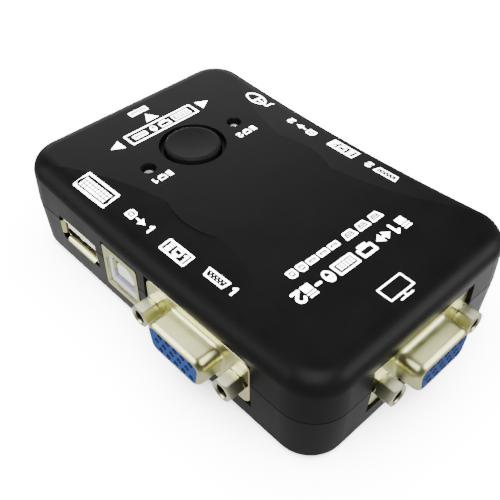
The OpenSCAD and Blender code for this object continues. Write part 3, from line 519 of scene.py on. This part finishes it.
# Console box by the button: keyboard, screen, mouse and port, with an arrow to each port outside
CONSOLE_PEN = 0.45
console_row = (keyboard_marks(0, 0, 5.2, 2.3, 0.36, 5) + screen_marks(6.2, 2.3, 3.1, 0.4)
               + mouse_marks(11.1, 1.15, 0.82, 1.15, 0.36) + flat_port_marks(13.2, 2.3, 3.8, 0.4))
console = (frame_marks(0, 0, 20.1, 4.3, CONSOLE_PEN) + moved_marks(console_row, 1.5, 1.0)
           + [[(-4.6, 2.1), (-1.6, 0.45), (-1.6, 3.85)], [(25.0, 2.1), (22.0, 3.8), (22.0, 0.45)],
              [(8.5, -1.0), (10.4, -4.0), (12.2, -1.0)]])
print_mark("print_console", console, (-9.9, -34.3), 0.0)
print_mark("print_console_port", flat_port_marks(0, 2.6, 5.2, 0.45), (-1.6, -41.7), 0.0)

for name, digit, place in (("print_lamp_pc1", one_marks, (10.1, -17.2)),
                           ("print_lamp_pc2", two_marks, (-15.2, -16.8))):
    marks = tower_marks(0, 1.8, 1.15) + screen_marks(1.7, 1.8, 1.9, 0.3) + digit(4.35, 1.8, 0.38)
    print_mark(name, marks, place, 0.0)

# Beside each computer's ports: the video port, the computer, and the link from the square USB port
for tag, digit, turn, video_place, pc_place, link_place in (
        ("pc1", one_marks, 90.0, (25.2, 11.1), (26.6, -0.6), (25.7, -13.2)),
        ("pc2", two_marks, -90.0, (-25.7, 19.9), (-26.7, 7.5), (-25.3, -4.6))):
    video = wide_port_marks(0, 2.2, 6.3, 0.42, 5) + digit(7.6, 2.2, 0.5)
    tower = tower_marks(0, 2.1, 1.25) + screen_marks(1.95, 2.1, 2.2, 0.36) + digit(4.9, 2.1, 0.46)
    computer = frame_marks(0, 0, 7.7, 3.3, 0.42) + moved_marks(tower, 1.1, 0.6)
    link = (square_port_marks(0, 2.2, 2.4, 0.42) + stroke([(3.1, 1.1), (4.6, 1.1)], 0.42)
            + [[(4.2, 0.2), (5.9, 1.1), (4.2, 2.0)]] + digit(7.2, 2.2, 0.5))
    print_mark("print_video_" + tag, video, video_place, turn)
    print_mark("print_computer_" + tag, computer, pc_place, turn)
    print_mark("print_link_" + tag, link, link_place, turn)

print_mark("print_keyboard", keyboard_marks(0, 0, 10.8, 4.8, 0.58, 9), (28.1, -28.7), 92.0)
cable = [(0, 2.9), (0.45, 3.6), (0.2, 4.1), (-0.6, 4.0), (-1.3, 3.9), (-1.8, 4.3)]
print_mark("print_mouse", mouse_marks(0, 0, 2.0, 3.05, 0.5) + stroke(cable, 0.42), (-24.3, -24.8), 0.0)

# ---------------------------------------------------------------- metal of the ports

# Face planes and centre lines of the ports, in mm
FLANGE_X, FLANGE_Y, VGA_Z, VGA_SIDE_Y = 31.0, 46.7, 12.6, 15.2
USB_FRONT_X, USB_FRONT_Y, USB_A_Z, USB_A_SIDE_Y = 31.2, 47.45, 11.4, -25.5
JACK_SPACING = 24.99


def stand(x, y, z, turn):
    """Places a port drawn with x across, y outward and z up; turn is in degrees about +Z."""
    return Matrix.Translation(Vector((x, y, z))) @ Matrix.Rotation(math.radians(turn), 4, "Z")


VGA_PLACES = {"monitor": stand(0, FLANGE_Y, VGA_Z, 0),
              "pc1": stand(FLANGE_X, VGA_SIDE_Y, VGA_Z, -90),
              "pc2": stand(-FLANGE_X, VGA_SIDE_Y, VGA_Z, 90)}
USB_A_PLACES = {"keyboard": stand(USB_FRONT_X, USB_A_SIDE_Y, USB_A_Z, -90),
                "mouse": stand(-USB_FRONT_X, USB_A_SIDE_Y, USB_A_Z, 90),
                "console": stand(0, -USB_FRONT_Y, USB_A_Z, 180)}
USB_B_PLACES = {"pc1": stand(USB_FRONT_X, SOCKET_Y, SOCKET_Z, -90),
                "pc2": stand(-USB_FRONT_X, SOCKET_Y, SOCKET_Z, 90)}


class Form:
    """Vertices and faces in mm, gathered before they become one piece."""

    def __init__(self):
        self.verts, self.faces = [], []

    def loft(self, rings, cap_first=False, cap_last=False):
        """Skins a row of rings that have the same number of points."""
        at = []
        for ring in rings:
            at.append(range(len(self.verts), len(self.verts) + len(ring)))
            self.verts += [tuple(p) for p in ring]
        for a, b in zip(at, at[1:]):
            n = len(a)
            for k in range(n):
                self.faces.append([a[k], a[(k + 1) % n], b[(k + 1) % n], b[k]])
        if cap_first:
            self.faces.append(list(reversed(at[0])))
        if cap_last:
            self.faces.append(list(at[-1]))

    def sheet(self, outer, hole, y, outward=True):
        """A flat face at depth y between two outlines."""
        base = [Vector(p) for p in outer] + [Vector(p) for p in hole]
        n, m = len(outer), len(hole)
        edges = [(k, (k + 1) % n) for k in range(n)] + [(n + k, n + (k + 1) % m) for k in range(m)]
        out_v, _, out_f, _, _, _ = delaunay_2d_cdt(base, edges, [], 0, 1e-6, False)
        start = len(self.verts)
        self.verts += [(v.x, y, v.y) for v in out_v]
        for f in out_f:
            x, z = (sum(out_v[k][c] for k in f) / len(f) for c in (0, 1))
            if inside(x, z, list(outer)) and not inside(x, z, list(hole)):
                self.faces.append([start + k for k in (reversed(f) if outward else f)])

    def piece(self, name, matrix, slot, node=None, material=None, smooth_angle=32.0, weld_mm=0.002):
        """Makes the object, which rides on the case and stands for node.

        It has its slot's material unless another is named.
        """
        mesh = bpy.data.meshes.new(name)
        mesh.from_pydata([(matrix @ Vector(v)) * MM for v in self.verts], [], self.faces)
        work = bmesh.new()
        work.from_mesh(mesh)
        bmesh.ops.remove_doubles(work, verts=work.verts, dist=weld_mm * MM)
        bmesh.ops.recalc_face_normals(work, faces=work.faces)
        work.to_mesh(mesh)
        work.free()
        mesh.shade_smooth()
        mesh.set_sharp_from_angle(angle=math.radians(smooth_angle))
        mesh.materials.append(MATERIALS[material or slot])
        made = bpy.data.objects.new(name, mesh)
        bpy.context.scene.collection.objects.link(made)
        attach(made, "case")
        if node:
            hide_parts(node)


def raised(outline, y):
    """The outline as a ring of points at depth y."""
    return [(x, y, z) for x, z in outline]


def round_box(w, h, r, steps=7):
    """Rectangle with round corners, anticlockwise from the right-hand side."""
    made = []
    for cx, cz, start in ((w / 2 - r, h / 2 - r, 0), (r - w / 2, h / 2 - r, 90),
                          (r - w / 2, r - h / 2, 180), (w / 2 - r, r - h / 2, 270)):
        for k in range(steps):
            t = math.radians(start + 90 * k / (steps - 1))
            made.append((cx + r * math.cos(t), cz + r * math.sin(t)))
    return made


# Slant of the short sides in degrees, and corner radius and half sizes in mm
D_SLANT, D_CORNER, D_HALF_W, D_HALF_H = 10.0, 2.4, 8.165, 3.95


def d_outline(grow, steps=9):
    """D-shaped outline, wide side up, grown outward."""
    high, wide = D_HALF_H - D_CORNER, D_HALF_W - D_CORNER
    narrow = wide - 2 * high * math.tan(math.radians(D_SLANT))
    r = D_CORNER + grow
    made = []
    for cx, cz, a, b in ((wide, high, -D_SLANT, 90), (-wide, high, 90, 180 + D_SLANT),
                         (-narrow, -high, 180 + D_SLANT, 270), (narrow, -high, 270, 360 - D_SLANT)):
        for k in range(steps):
            t = math.radians(a + (b - a) * k / (steps - 1))
            made.append((cx + r * math.cos(t), cz + r * math.sin(t)))
    return made


# Section of the stamped shroud, as (growth of the outline, depth): the fillet at the flange, the lip, and the
# inside wall
LIP_START, LIP_END, LIP_IN, LIP_STEPS = 4.35, 5.785, 0.93, 10
WALL_IN = -0.45
SHROUD_ROOT = ((0.66, 0.0), (0.54, 0.015), (0.42, 0.06), (0.31, 0.14), (0.22, 0.25),
               (0.14, 0.40), (0.07, 0.62), (0.02, 0.90), (0.0, 1.25))
SHROUD_LIP = tuple((LIP_IN * (math.cos(math.pi / 2 * k / LIP_STEPS) - 1),
                    LIP_START + (LIP_END - LIP_START) * math.sin(math.pi / 2 * k / LIP_STEPS))
                   for k in range(LIP_STEPS + 1))
SHROUD_INSIDE = ((-0.94, 5.70), (-0.94, 5.30), (-0.46, 5.22), (WALL_IN, 5.0), (WALL_IN, -0.8))
SHROUD_SECTION = SHROUD_ROOT + SHROUD_LIP + SHROUD_INSIDE
FLANGE_W, FLANGE_H, FLANGE_T, FLANGE_CORNER = 30.8, 12.5, 0.8, 2
# Rolled edge of the flange, as (inset, depth)
FLANGE_EDGE = ((0.34, 0.0), (0.20, -0.03), (0.07, -0.12), (0.0, -0.28), (0.0, -0.70), (0.08, -FLANGE_T))


def flange_outline(inset):
    """Outline of the flange, drawn in from its true size."""
    return round_box(FLANGE_W - 2 * inset, FLANGE_H - 2 * inset, FLANGE_CORNER - inset)


def vga_shield_form():
    """Stamped shield: a D-shaped shroud that rises from a flange."""
    form = Form()
    form.loft([raised(d_outline(growth), y) for growth, y in SHROUD_SECTION])
    form.loft([raised(flange_outline(inset), y) for inset, y in FLANGE_EDGE])
    form.sheet(flange_outline(FLANGE_EDGE[0][0]), d_outline(SHROUD_SECTION[0][0]), 0.0)
    form.sheet(flange_outline(FLANGE_EDGE[-1][0]), d_outline(WALL_IN), -FLANGE_T, outward=False)
    return form


# Half the width over flats, turned-down corner radius and length, in mm, and the points round one
JACK_APOTHEM, JACK_TURNED, JACK_L, JACK_POINTS = 2.38, 2.69, 4.6, 60
# Radius of the bore, where it starts below the face, and how deep it goes
BORE_R, BORE_START, BORE_DEPTH = 1.50, 0.34, 3.95


def hexagon(apothem, clip):
    """Hexagon with a flat on top, its corners turned down to the radius clip."""
    made = []
    for k in range(JACK_POINTS):
        t = 2 * math.pi * k / JACK_POINTS
        from_flat = (t + math.pi / 2) % (math.pi / 3)
        r = min(apothem / math.cos(from_flat - (math.pi / 3 if from_flat > math.pi / 6 else 0)), clip)
        made.append((r * math.cos(t), r * math.sin(t)))
    return made


def jack_ring(r, y):
    """A round ring of a standoff at depth y."""
    return raised(disc(0, 0, r, JACK_POINTS), y)


def jack_pair(form, rings):
    """Skins the rings once for each of the two standoffs."""
    for side in (-1, 1):
        moved = [[(x + side * JACK_SPACING / 2, y, z) for x, y, z in ring] for ring in rings]
        form.loft(moved, cap_first=True, cap_last=True)


def jackscrew_form():
    """Two hexagonal standoffs with a turned neck, chamfered corners and a countersunk hole."""
    form = Form()
    neck_r, neck_y, face_r, mouth_r = 2.22, 0.85, 2.26, 1.76
    body = hexagon(JACK_APOTHEM, JACK_TURNED)
    chamfer = [(x, JACK_L - max(0.0, math.hypot(x, z) - face_r) * 0.7, z) for x, z in body]
    rings = [raised(body, 0.0), raised(body, neck_y - 0.14), jack_ring(neck_r, neck_y - 0.1),
             jack_ring(neck_r, neck_y + 0.1), raised(body, neck_y + 0.14), chamfer,
             jack_ring(face_r, JACK_L - 0.02), jack_ring(face_r - 0.1, JACK_L),
             jack_ring(mouth_r + 0.06, JACK_L), jack_ring(mouth_r, JACK_L - 0.05),
             jack_ring(BORE_R, JACK_L - BORE_START), jack_ring(BORE_R, JACK_L - BORE_DEPTH)]
    jack_pair(form, rings)
    return form


def thread_form():
    """The threads of the two standoffs, as sleeves in their bores."""
    form = Form()
    minor_r, pitch, turns = 1.22, 0.635, 5
    crest_r, outer_r = BORE_R - 0.05, BORE_R - 0.01
    top = JACK_L - BORE_START - 0.02
    bottom = top - pitch * (turns + 0.3)
    rings = [jack_ring(outer_r, bottom), jack_ring(outer_r, top), jack_ring(crest_r, top)]
    for turn in range(turns):
        y = top - turn * pitch
        rings += [jack_ring(minor_r, y - pitch * 0.42), jack_ring(minor_r, y - pitch * 0.55),
                  jack_ring(crest_r, y - pitch * 0.97)]
    jack_pair(form, rings)
    return form


PIN_PITCH, PIN_ROW, FACE_Y = 2.29, 1.98, 5.7
SOCKET_R, SOCKET_HOLE_R, SOCKET_DEPTH, SOCKET_STEPS = 0.68, 0.59, 0.9, 20


def pin_sockets_form():
    """Fifteen sockets with a raised rim, in three rows, the middle row half a pitch along."""
    form = Form()
    section = ((SOCKET_R, FACE_Y - 1.2), (SOCKET_R, FACE_Y), (SOCKET_R - 0.04, FACE_Y + 0.02),
               (SOCKET_HOLE_R + 0.03, FACE_Y + 0.01), (SOCKET_HOLE_R, FACE_Y - 0.12),
               (SOCKET_HOLE_R, FACE_Y - SOCKET_DEPTH))
    for row in (-1, 0, 1):
        for k in range(-2, 3):
            x = (k + (0.5 if row == 0 else 0.0) - 0.25) * PIN_PITCH
            rings = [[(x + px, y, row * PIN_ROW + pz) for px, pz in disc(0, 0, r, SOCKET_STEPS)]
                     for r, y in section]
            form.loft(rings, cap_first=True, cap_last=True)
    return form


JACK_SMOOTH = 24.0
for tag, place in VGA_PLACES.items():
    port = "vga_" + tag
    vga_shield_form().piece(port + "_shield_stamped", place, "shield_nickel", port + "_shield")
    jackscrew_form().piece(port + "_jackscrews_turned", place, "jack_nickel", port + "_jackscrews",
                           smooth_angle=JACK_SMOOTH)
    # The threads are painted near-black: painted shade in the bores
    thread_form().piece(port + "_jackscrew_threads", place, "screw_steel", material="bore_painted_shade",
                        smooth_angle=JACK_SMOOTH)
    # The sockets carry the near-black blue: painted shade in the holes
    pin_sockets_form().piece(port + "_pin_sockets", place, "vga_blue", material="vga_blue_deep")

USB_A_W, USB_A_H, USB_A_SKIN, USB_A_DEPTH = 12.5, 5.12, 0.3, 13.6
# Sheet metal of the USB shells: seam angle in degrees, then weld distance and the thickness of lips and of
# springs in mm
SHELL_SMOOTH, SHELL_WELD, LIP_T, SPRING_T = 40.0, 0.0005, 0.28, 0.22
# Middle line of a lip that flares outward at the mouth, and of a sprung finger: (depth, outward)
LIP_LINE = ((-1.5, 0.15), (-1.1, 0.16), (-0.8, 0.22), (-0.55, 0.34),
            (-0.36, 0.50), (-0.22, 0.68), (-0.13, 0.84))
FINGER_LINE = ((-1.9, -0.14), (-2.6, -0.12), (-3.4, 0.16), (-4.1, 0.46), (-4.7, 0.52),
               (-5.2, 0.40), (-6.0, 0.18), (-7.2, -0.02), (-8.4, -0.14))
FINGER_X = 3.3


def strip(form, line, half, across, thick):
    """A bent strip of this thickness.

    line holds (depth, height) of its middle, half(k) is its half width at point k of the line, and across
    turns (side, depth, height) into a place.
    """
    rings = []
    for k, (y, h) in enumerate(line):
        a, b = line[max(k - 1, 0)], line[min(k + 1, len(line) - 1)]
        run = math.hypot(b[0] - a[0], b[1] - a[1])
        ny, nh = -(b[1] - a[1]) / run * thick / 2, (b[0] - a[0]) / run * thick / 2
        w = half(k)
        rings.append([across(-w, y + ny, h + nh), across(w, y + ny, h + nh),
                      across(w, y - ny, h - nh), across(-w, y - ny, h - nh)])
    form.loft(rings, cap_first=True, cap_last=True)


def usb_a_shell_form():
    """Folded shell with a flared lip on each side of the mouth and two sprung fingers above and below."""
    form = Form()
    w, h, inner = USB_A_W, USB_A_H, USB_A_SKIN - 0.01
    section = ((0.0, -USB_A_DEPTH), (0.0, -1.35), (0.15, -1.2), (inner, -1.35), (inner, -USB_A_DEPTH))
    skin = [raised(round_box(w + 2 * USB_A_SKIN - 2 * g, h + 2 * USB_A_SKIN - 2 * g, 0.5 - g), y)
            for g, y in section]
    form.loft(skin + [skin[0]])
    for s in (-1, 1):
        reach = 1.0 if s < 0 else 0.4
        strip(form, LIP_LINE, lambda k: w / 2 - 0.5 - 0.09 * k,
              lambda a, y, o: (a, y, s * (h / 2 + o)), LIP_T)
        strip(form, LIP_LINE, lambda k: h / 2 - 0.45 - 0.05 * k,
              lambda a, y, o: (s * (w / 2 + o), y, a), LIP_T)
        for x in (-FINGER_X, FINGER_X):
            strip(form, FINGER_LINE, lambda k: 1.15 - 0.03 * k,
                  lambda a, y, o: (x + a, y, s * (h / 2 - 0.06 - o * reach)), SPRING_T)
    return form


def usb_a_shade_liner_form():
    """A dark sheet inside the shell: painted shade in its hollow."""
    form = Form()
    clear, thick, front, rear = 0.02, 0.05, -1.25, -10.5
    rings = [raised(round_box(USB_A_W - 2 * g, USB_A_H - 2 * g, 0.25 - g * 0.5), y)
             for g, y in ((clear, rear), (clear, front), (clear + thick, front), (clear + thick, rear))]
    form.loft(rings + [rings[0]])
    return form


for tag, place in USB_A_PLACES.items():
    shell = "usb_" + tag + "_shell"
    # A dark steel liner paints the shade inside each shell
    usb_a_shade_liner_form().piece(shell + "_inside", place, "screw_steel",
                             smooth_angle=SHELL_SMOOTH, weld_mm=SHELL_WELD)
    usb_a_shell_form().piece(shell + "_folded", place, "shield_nickel", shell,
                             smooth_angle=SHELL_SMOOTH, weld_mm=SHELL_WELD)

# Middle line of a sprung leaf of the square sockets: (depth, distance from the port's middle)
LEAF_LINE = ((-1.24, 4.62), (-1.45, 4.48), (-1.75, 4.28), (-2.15, 4.12),
             (-2.7, 4.05), (-3.4, 4.10), (-4.4, 4.30), (-5.6, 4.62))
LEAF_HALF_H = 1.45


def usb_b_leaves_form():
    """The two sprung leaves that bow into the square socket through its windows."""
    form = Form()
    for s in (-1, 1):
        strip(form, LEAF_LINE, lambda k: LEAF_HALF_H - 0.03 * k, lambda a, y, o: (s * o, y, a), SPRING_T)
    return form


for tag, place in USB_B_PLACES.items():
    usb_b_leaves_form().piece("usb_" + tag + "_shell_leaves", place, "shield_nickel",
                              smooth_angle=SHELL_SMOOTH, weld_mm=SHELL_WELD)

# ---------------------------------------------------------------- floor, light and camera

FLOOR_SIZE, FLOOR_CELLS, FLOOR_GAP = 6.0, 24, 0.0001
floor_mesh = bpy.data.meshes.new("floor")
grid = bmesh.new()
bmesh.ops.create_grid(grid, x_segments=FLOOR_CELLS, y_segments=FLOOR_CELLS, size=FLOOR_SIZE / 2)
grid.to_mesh(floor_mesh)
grid.free()
floor = bpy.data.objects.new("floor", floor_mesh)
bpy.context.scene.collection.objects.link(floor)
floor.location.z = CAD_LOW.z - FLOOR_GAP
floor.data.materials.append(shaded("floor_white", (0.84, 0.84, 0.84), (0.86, 0.86, 0.86), (0.60, 0.70),
                                   blotch_mm=200, grain_mm=2, grain_depth_mm=0.01, specular=0.2))
floor.visible_glossy = False
floor.visible_diffuse = False
floor.visible_shadow = False

# Radiance of the studio round the object by the height of the direction: a white table below, dim walls above
STUDIO_LEVELS = ((-1.0, 0.16), (-0.2, 0.24), (0.0, 0.30), (0.12, 0.16), (0.4, 0.08), (1.0, 0.05))
STUDIO_PEAK = 0.30
world = bpy.data.worlds.new("studio")
bpy.context.scene.world = world
world.use_nodes = True
studio = world.node_tree
split = studio.nodes.new("ShaderNodeSeparateXYZ")
studio.links.new(studio.nodes.new("ShaderNodeTexCoord").outputs["Generated"], split.inputs["Vector"])
height = studio.nodes.new("ShaderNodeMapRange")
height.inputs["From Min"].default_value = -1.0
height.inputs["From Max"].default_value = 1.0
studio.links.new(split.outputs["Z"], height.inputs["Value"])
levels = studio.nodes.new("ShaderNodeValToRGB")
studio.links.new(height.outputs["Result"], levels.inputs["Fac"])
while len(levels.color_ramp.elements) < len(STUDIO_LEVELS):
    levels.color_ramp.elements.new(0.5)
for stop, (z, radiance) in zip(levels.color_ramp.elements, STUDIO_LEVELS):
    stop.position = (z + 1) / 2
    stop.color = (radiance / STUDIO_PEAK,) * 3 + (1,)
studio.links.new(levels.outputs["Color"], studio.nodes["Background"].inputs["Color"])
studio.nodes["Background"].inputs["Strength"].default_value = STUDIO_PEAK


LIGHT_AIM = Vector((0, 0, 0))


def area_light(name, place, size, power, receiver):
    """A round white lamp aimed at the object's origin, which lights only the objects of one collection."""
    data = bpy.data.lights.new(name, "AREA")
    data.shape = "DISK"
    data.size = size
    data.energy = power
    lamp = bpy.data.objects.new(name, data)
    bpy.context.scene.collection.objects.link(lamp)
    lamp.location = place
    lamp.rotation_mode = "QUATERNION"
    lamp.rotation_quaternion = (LIGHT_AIM - Vector(place)).to_track_quat("-Z", "Y")
    lamp.light_linking.receiver_collection = receiver


def receivers(name, objects):
    """A collection of the objects a light falls on."""
    made = bpy.data.collections.new(name)
    for o in objects:
        made.objects.link(o)
    return made


# The case, the printing, the pale parts and the bare metal are each lit for themselves
BLACK_SLOTS = ("case_black", "button_black")
METAL_SLOTS = tuple(name for name, finish in FINISHES.items() if finish.get("metallic"))
GROUPS = {"black": [], "metal": [], "pale": [], "print": []}
for thing in bpy.context.scene.objects:
    if thing.type == "MESH" and thing is not floor and thing.material_slots:
        first = thing.material_slots[0].material.name.split(".")[0]
        if first == "print_white":
            group = "print"
        elif first in BLACK_SLOTS:
            group = "black"
        elif first in METAL_SLOTS:
            group = "metal"
        else:
            group = "pale"
        GROUPS[group].append(thing)
LIT = {group: receivers("lit_" + group, things) for group, things in GROUPS.items()}

for name, place, size, power, group in (
        ("overhead_case", (0.30, 0.30, 0.80), 0.9, 8.0, "black"),
        ("table_case", (0.0, 0.0, -0.5), 2.4, 6.2, "black"),
        ("left_card_case", (0.66, -0.50, 0.34), 0.6, 2.2, "black"),
        ("right_card_case", (-0.50, 0.68, 0.32), 0.6, 3.8, "black"),
        ("backdrop_case", (-0.47, -0.75, 0.26), 0.9, 3.0, "black"),
        ("low_left_case", (0.28, -0.66, -0.58), 0.6, 0.6, "black"),
        ("low_right_case", (-0.66, 0.26, -0.58), 0.5, 0.8, "black"),
        ("overhead_print", (0.30, 0.30, 0.80), 0.9, 190.0, "print"),
        ("overhead_pale", (0.30, 0.20, 0.80), 0.7, 30.0, "pale"),
        ("table_pale", (0.0, 0.0, -0.5), 2.4, 5.0, "pale"),
        ("front_pale", (0.70, 0.55, 0.45), 0.3, 26.0, "pale"),
        ("back_pale", (-0.70, -0.30, 0.50), 0.3, 16.0, "pale"),
        ("rear_card", (-0.42, -0.50, 0.64), 0.9, 4.6, "metal"),
        ("left_card", (0.45, -0.46, 0.61), 0.9, 13.0, "metal"),
        ("right_card", (-0.46, 0.45, 0.61), 0.9, 11.0, "metal"),
        ("low_left_card", (0.83, -0.52, 0.14), 0.7, 2.0, "metal"),
        ("low_right_card", (-0.52, 0.83, 0.14), 0.7, 1.4, "metal"),
        ("table_metal", (0.0, 0.0, -0.5), 2.4, 11.0, "metal")):
    area_light(name, place, size, power, LIT[group])
area_light("floor_light", (0.0, 0.0, 1.5), 3.0, 900.0, receivers("lit_floor", [floor]))

AZIMUTH, ELEVATION = math.radians(136.32), math.radians(44.71)
CAMERA_PLACE = Vector((84.85, 87.22, 126.03)) * MM
back = Vector((math.sin(AZIMUTH) * math.cos(ELEVATION),
               -math.cos(AZIMUTH) * math.cos(ELEVATION),
               math.sin(ELEVATION)))
camera_data = bpy.data.cameras.new("camera")
camera_data.sensor_width = 36.0
camera_data.lens = 52.0
camera_data.clip_start = 0.005
camera_data.clip_end = 20.0
camera = bpy.data.objects.new("camera", camera_data)
bpy.context.scene.collection.objects.link(camera)
camera.location = CAMERA_PLACE
camera.rotation_mode = "QUATERNION"
camera.rotation_quaternion = (-back).to_track_quat("-Z", "Y")
bpy.context.scene.camera = camera
